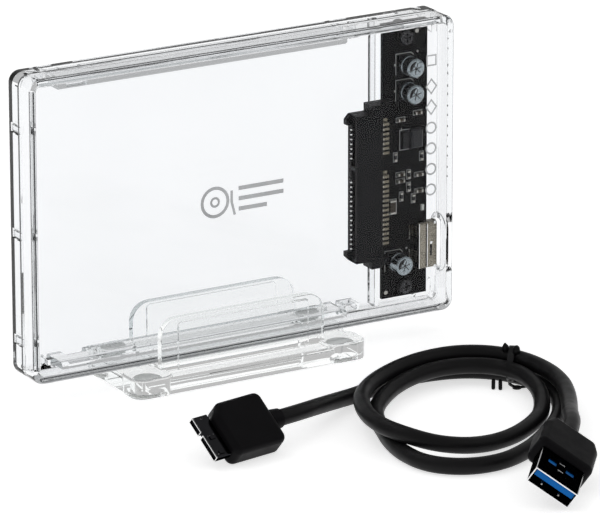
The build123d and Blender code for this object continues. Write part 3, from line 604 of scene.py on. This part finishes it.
def make_solder_ends():
    """Tinned ends and solder on the small parts' two ends."""
    grow, cap, pad, inset, shoulder = 0.04, 0.32, 0.25, 0.07, 0.75
    form = bmesh.new()
    for name, upright in (("ceramic_capacitors", False), ("resistors", True), ("fuse", True)):
        for (x0, y0, z0), (x1, y1, z1) in boxes(name):
            if upright:
                ends = [(x0 - grow, z0 - pad, x1 + grow, z0 + cap),
                        (x0 - grow, z1 - cap, x1 + grow, z1 + pad)]
            else:
                ends = [(x0 - pad, z0 - grow, x0 + cap, z1 + grow),
                        (x1 - cap, z0 - grow, x1 + pad, z1 + grow)]
            height = y1 - y0
            for left, low, right, high in ends:
                outline = rectangle(left, low, right, high)
                inner = rectangle(left + inset, low + inset, right - inset, high - inset)
                levels = ((outline, 0.0), (outline, height * shoulder), (inner, height + grow))
                skin(form, [[board_front @ Vector((x * MM, z * MM, y * MM)) for x, z in ring]
                            for ring, y in levels])
    finish_piece("solder_ends", form, "solder", "case")


def make_capacitor_tops():
    """The black segment on each capacitor's end, and painted shade along its vent lines."""
    mark_radius, mark_height, vent_reach, vent_width, vent_height = 1.95, 0.03, 1.5, 0.26, 0.025
    marks, vent_shade = bmesh.new(), bmesh.new()
    for number in (1, 2, 3):
        x, _, z = middle(f"capacitor_can_{number}")
        plane = front_plane(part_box(f"capacitor_can_{number}")[0].y)
        plate(marks, plane, arc((x, z), mark_radius, 85, 205, 16), mark_height)
        # Each vent line is painted shade: a black metal ribbon on the can's end.
        for angle in (15, 75, 135):
            turn = Vector((math.cos(math.radians(angle)), math.sin(math.radians(angle))))
            line = [Vector((x, z)) - turn * vent_reach, Vector((x, z)) + turn * vent_reach]
            ribbon(vent_shade, plane, line, vent_width, vent_height)
    finish_piece("capacitor_marks", marks, "print_and_shade_black", "case")
    finish_piece("capacitor_vent_shade", vent_shade, "black_screw", "case")


def make_contact_details():
    """The drive connector's contacts: painted highlights at their bends, noses in the slot painted
    as highlights, and a comb between them.
    """
    bend, foot = 3.65, 1.75  # how far each starts from a contact's right end
    bend_width, half_bend, bend_height = 0.4, 0.2, 0.05
    half_nose, nose_start, nose_end, nose_height, nose_base = 0.15, 0.15, 0.5, 0.3, -0.6
    comb_lap, comb_rise = 0.05, 0.08
    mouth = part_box("sata_housing")[0].x / MM
    painted_highlights, noses, comb = bmesh.new(), bmesh.new(), bmesh.new()
    for name in ("sata_signal_contacts", "sata_power_contacts"):
        row = sorted(boxes(name), key=lambda solid: solid[0][2])
        front = row[0][0][1]
        face = front_plane(front * MM)
        for low, high in row:
            x, z = high[0] - bend, (low[2] + high[2]) / 2
            # A painted highlight where each contact bends.
            outline = rectangle(x, z - half_bend, x + bend_width, z + half_bend)
            plate(painted_highlights, face, outline, bend_height)
            # The nose is a real contact end, coloured as a painted highlight.
            nose = rectangle(mouth + nose_start, z - half_nose, mouth + nose_end, z + half_nose)
            plate(noses, face, nose, nose_height, base=nose_base)
        depth = (board_y / MM) - front
        for (_, high), (after, _) in zip(row, row[1:]):
            left, right = high[0] - bend - comb_lap, high[0] - foot
            outline = rectangle(left, high[2], right, after[2])
            plate(comb, face, outline, depth + comb_rise, base=-depth)
    finish_piece("contact_bend_highlights", painted_highlights, "solder", "case")
    finish_piece("contact_nose_highlights", noses, "painted_highlight_metal", "case")
    finish_piece("contact_comb", comb, "connector_black", "case")


def make_port_marks():
    """On the port's steel shell: painted shade along the folded seam and in the catch window, and
    painted highlights beside the seam, on the left edge, at the catch and at the soldered corners.
    """
    (x0, y0, z0), (x1, _, z1) = corners("usb_port_shell")
    face = front_plane(y0 * MM)
    seam, seam_light, edge_light, catch = x0 + 2.2, x0 + 2.55, x0 + 0.15, x1 - 1.7
    end, edge_end, light = 0.5, 0.3, 0.2
    painted_shade, painted_highlights = bmesh.new(), bmesh.new()
    # Painted shade: the seam and the catch window as black strips.
    ribbon(painted_shade, face, [(seam, z0 + end), (seam, z1 - end)], 0.28, ink)
    ribbon(painted_shade, face, [(catch, z0 + 3.4), (catch, z0 + 6.4)], 0.55, ink)
    # Painted highlights beside the seam, on the left edge, at the catch and at the corners.
    ribbon(painted_highlights, face, [(seam_light, z0 + end), (seam_light, z1 - end)], light, ink)
    ribbon(painted_highlights, face, [(edge_light, z0 + edge_end), (edge_light, z1 - edge_end)], light, ink)
    plate(painted_highlights, face, circle((catch, z0 + 6.9), 0.38, 16), 0.08)
    for z in (z0 + 0.45, z1 - 0.45):
        plate(painted_highlights, face, circle((x1 - 0.6, z), 0.4, 16), 0.12)
    finish_piece("port_seam_shade", painted_shade, "print_and_shade_black", "case")
    finish_piece("port_highlights", painted_highlights, "painted_highlight_metal", "case")


make_board_print()
make_solder_ends()
make_contact_details()
make_capacitor_tops()
make_port_marks()


# ================================================================ on the enclosure
cover_front = front_plane(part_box("front_cover")[0].y)
moulded_height = 0.02


def make_pictogram():
    """A plain grey picture on the front: a drive's disc, an arm beside it, and three bars."""
    disc, disc_radius, hub_radius = (-9.4, 46.0), 3.7, 1.1
    form = bmesh.new()
    for outline, width in ((circle(disc, disc_radius), 0.85), (circle(disc, hub_radius, 20), 0.6)):
        ribbon(form, cover_front, outline, width, moulded_height, closed=True)
    ribbon(form, cover_front, [(-3.7, 41.9), (-4.6, 45.4), (-4.6, 48.4)], 0.7, moulded_height)
    bar_start, bar_width = -2.6, 1.1
    for rise, end in ((48.7, 10.4), (46.0, 10.4), (43.3, 5.6)):
        ribbon(form, cover_front, [(bar_start, rise), (end, rise)], bar_width, moulded_height)
    finish_piece("front_pictogram", form, "print_grey", "cover")


def make_side_marks():
    """Plain marks down the strip beside the board, with no lettering."""
    x, thin, thick = 53.9, 0.4, 0.45
    form = bmesh.new()
    for z in (39.5, 45.0, 50.5, 56.0):
        ribbon(form, cover_front, circle((x, z), 1.4, 24), thick, moulded_height, closed=True)
    square = rectangle(x - 1.3, 72.6, x + 1.3, 75.2)
    ribbon(form, cover_front, square, thin, moulded_height, closed=True)
    for z in (61.5, 67.0):
        diamond = [(x - 1.5, z), (x, z - 1.9), (x + 1.5, z), (x, z + 1.9)]
        ribbon(form, cover_front, diamond, thin, moulded_height, closed=True)
    finish_piece("side_marks", form, "print_grey", "cover")


def make_joint_line():
    """A grey strip in the gap between the enclosure's halves, just under the surface all round:
    painted shade that draws the joint as a grey line.
    """
    inset, radius, width, depth = 0.16, 2.84, 0.22, 0.42
    mid = (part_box("rear_shell")[0].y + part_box("front_cover")[1].y) / 2
    (x0, _, z0), (x1, _, z1) = corners("rear_shell")
    x0, z0, x1, z1 = x0 + inset, z0 + inset, x1 - inset, z1 - inset
    outline = []
    for x, z, start in ((x1, z1, 0), (x0, z1, 90), (x0, z0, 180), (x1, z0, 270)):
        mid_x = x - radius if x > 0 else x + radius
        mid_z = z - radius if z == z1 else z + radius
        outline += arc((mid_x, mid_z), radius, start, start + 90, 8)
    form = bmesh.new()
    ribbon(form, front_plane(mid), outline, width, depth, closed=True)
    bmesh.ops.translate(form, verts=form.verts, vec=(0, depth / 2 * MM, 0))
    finish_piece("joint_shade_line", form, "joint_shade_grey", "case")


def make_pads():
    """Ribbed round pads in the cradle's feet, in place of the plain CAD ones."""
    steps, rib_every, rib_depth, below_foot = 72, 3, 0.12, 0.04
    for name in [name for name in nodes if name.startswith("foot_pad")]:
        low, high = (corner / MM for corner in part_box(name))
        mid = (low + high) / 2
        radius = (high.x - low.x) / 2
        outline = []
        for step in range(steps):
            angle = 2 * math.pi * step / steps
            reach = radius - rib_depth * (step % rib_every == 0)
            outline.append((mid.x + reach * math.cos(angle), mid.y + reach * math.sin(angle)))
        form = bmesh.new()
        level = facing((0, 0, low.z * MM), (1, 0, 0), (0, 1, 0))
        plate(form, level, outline, high.z - low.z - below_foot)
        ribbed = name.replace("foot_pad", "ribbed_pad")
        pad = finish_piece(ribbed, form, "silicone_pad", "stand")
        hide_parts(name)


make_pictogram()
make_side_marks()
make_joint_line()
make_pads()


# ================================================================ on the plugs
def plug_ways(axis, wide):
    """A plug's up and across, from its axis and the way that its wide side goes."""
    up = axis.cross(wide).normalized()
    return up, up.cross(axis)


plug_up, plug_across = plug_ways(plug_axis, Vector((-0.6668, 0.4889, 0.5608)))
micro_up, micro_across = plug_ways(micro_axis, Vector((-0.147, 0.761, 0.632)))


def make_large_plug_details():
    """The large plug's springs with their noses, painted highlights on its rim and top edges, and
    two painted highlights on top.
    """
    spring_half, spring_length, spring_height = 0.22, 6.0, 0.15
    dome = [(0.0, 0.26), (0.15, 0.24), (0.25, 0.12)]
    form = bmesh.new()
    for side in (-2.4, 2.4):
        spot = plug_nose + plug_axis * 0.8 + plug_across * side - plug_up * 1.15
        plane = facing(spot * MM, plug_across, plug_axis)
        strip = rectangle(-spring_half, 0, spring_half, spring_length)
        plate(form, plane, strip, spring_height)
        lathe(form, spot + plug_up * 0.1, plug_up, dome, 12)
    finish_piece("plug_springs", form, "solder", "usb_lead")

    # Painted highlights round the plug's mouth and along its top edges.
    form = bmesh.new()
    front = facing((plug_nose - plug_axis * 0.03) * MM, plug_across, plug_up)
    half_wide, half_high = 5.84, 2.09
    rim = rectangle(-half_wide, -half_high, half_wide, half_high)
    ribbon(form, front, rim, 0.3, 0.05, closed=True)
    line_half, line_length = 0.13, 11.5
    for side in (-1, 1):
        start = plug_nose + plug_across * (side * 5.86) + plug_up * 2.1
        edge = facing(start * MM, plug_across, plug_axis)
        plate(form, edge, rectangle(-line_half, 0, line_half, line_length), line_half)
    finish_piece("plug_rim_highlights", form, "painted_highlight_metal", "usb_lead")

    # Two painted highlights on the top of the shell.
    form = bmesh.new()
    half_shell, mark_half, mark_length, mark_height = 2.25, 0.75, 0.5, 0.08
    plane = facing((plug_nose + plug_up * half_shell) * MM, plug_across, plug_axis)
    for back in (5.0, 8.6):
        mark = rectangle(-mark_half, back, mark_half, back + mark_length)
        plate(form, plane, mark, mark_height)
    finish_piece("plug_top_highlights", form, "painted_highlight_metal", "usb_lead")


def make_small_plug_edges():
    """Painted highlights on the small plug: round its two mouths, and on its top edges and latch
    springs.
    """
    mouth = facing((micro_nose - micro_axis * 0.02) * MM, micro_across, micro_up)
    top = facing((micro_nose + micro_up * 0.925) * MM, micro_across, micro_axis)
    tall, rim, rim_line, top_line = 0.80, 0.12, 0.22, 0.16
    form = bmesh.new()
    for mid, width in ((-2.675, 6.9), (3.875, 4.5)):
        wide = width / 2 - rim
        outline = rectangle(mid - wide, -tall, mid + wide, tall)
        ribbon(form, mouth, outline, rim_line, 0.04, closed=True)
        ribbon(form, top, [(mid - wide, 0.15), (mid + wide, 0.15)], top_line, 0.03)
        end = mid + wide
        ribbon(form, top, [(end - 0.9, 1.9), (end - 0.9, 2.8), (end - 0.2, 2.9)], 0.14, 0.3)
    for x, start, stop in ((-5.2, 0.9, 1.6), (0.2, 1.0, 1.9)):
        ribbon(form, top, [(x, start), (x, stop)], top_line, 0.05)
    finish_piece("small_plug_highlights", form, "painted_highlight_metal", "usb_lead")


make_large_plug_details()
make_small_plug_edges()

dress_nodes()
soften_edges()


# ================================================================ floor and light
def make_floor():
    """A pale floor that also glows, so that shadows on it stay faint."""
    form = bmesh.new()
    bmesh.ops.create_grid(form, x_segments=8, y_segments=8, size=3.0)
    mesh = bpy.data.meshes.new("floor")
    form.to_mesh(mesh)
    form.free()
    look = Look("floor", (0.85, 0.85, 0.85), 0.7)
    look.vary_colour(look.noise(60.0), 0.995, 1.005)
    look.set(Emission_Color=(1.0, 1.0, 1.0, 1.0), Emission_Strength=0.64, Specular_IOR_Level=0.0)
    mesh.materials.append(look.material)
    floor = bpy.data.objects.new("floor", mesh)
    scene.collection.objects.link(floor)


def make_light(name, place, target, size, power):
    """A soft rectangular lamp that points at target; places and sizes in metres."""
    light = bpy.data.lights.new(name, "AREA")
    light.shape = "RECTANGLE"
    light.size, light.size_y = size
    light.energy = power
    lamp = bpy.data.objects.new(name, light)
    scene.collection.objects.link(lamp)
    lamp.location = place
    lamp.rotation_euler = (Vector(target) - Vector(place)).to_track_quat("-Z", "Y").to_euler()


def make_world():
    """An even grey sky, slightly darker overhead and below the horizon."""
    world = bpy.data.worlds.new("studio")
    scene.world = world
    world.use_nodes = True
    tree = world.node_tree
    background = tree.nodes["Background"]
    split = tree.nodes.new("ShaderNodeSeparateXYZ")
    ramp = tree.nodes.new("ShaderNodeValToRGB")
    place = tree.nodes.new("ShaderNodeTexCoord")
    tree.links.new(place.outputs["Generated"], split.inputs["Vector"])
    tree.links.new(split.outputs["Z"], ramp.inputs["Fac"])
    tree.links.new(ramp.outputs["Color"], background.inputs["Color"])
    stops = [(0.0, 0.46), (0.15, 0.52), (0.5, 0.52), (1.0, 0.45)]
    for rise, _ in stops[1:-1]:
        ramp.color_ramp.elements.new(rise)
    for element, (rise, grey) in zip(ramp.color_ramp.elements, stops):
        element.position = rise
        element.color = (grey, grey, grey, 1.0)
    background.inputs["Strength"].default_value = 1.0


make_floor()
make_light("key", (-0.5, 0.5, 1.3), (0, -0.03, 0), (1.0, 0.8), 1.6)
make_light("fill", (0.9, -0.8, 1.0), (0, -0.03, 0.03), (0.5, 0.5), 0.5)
make_world()
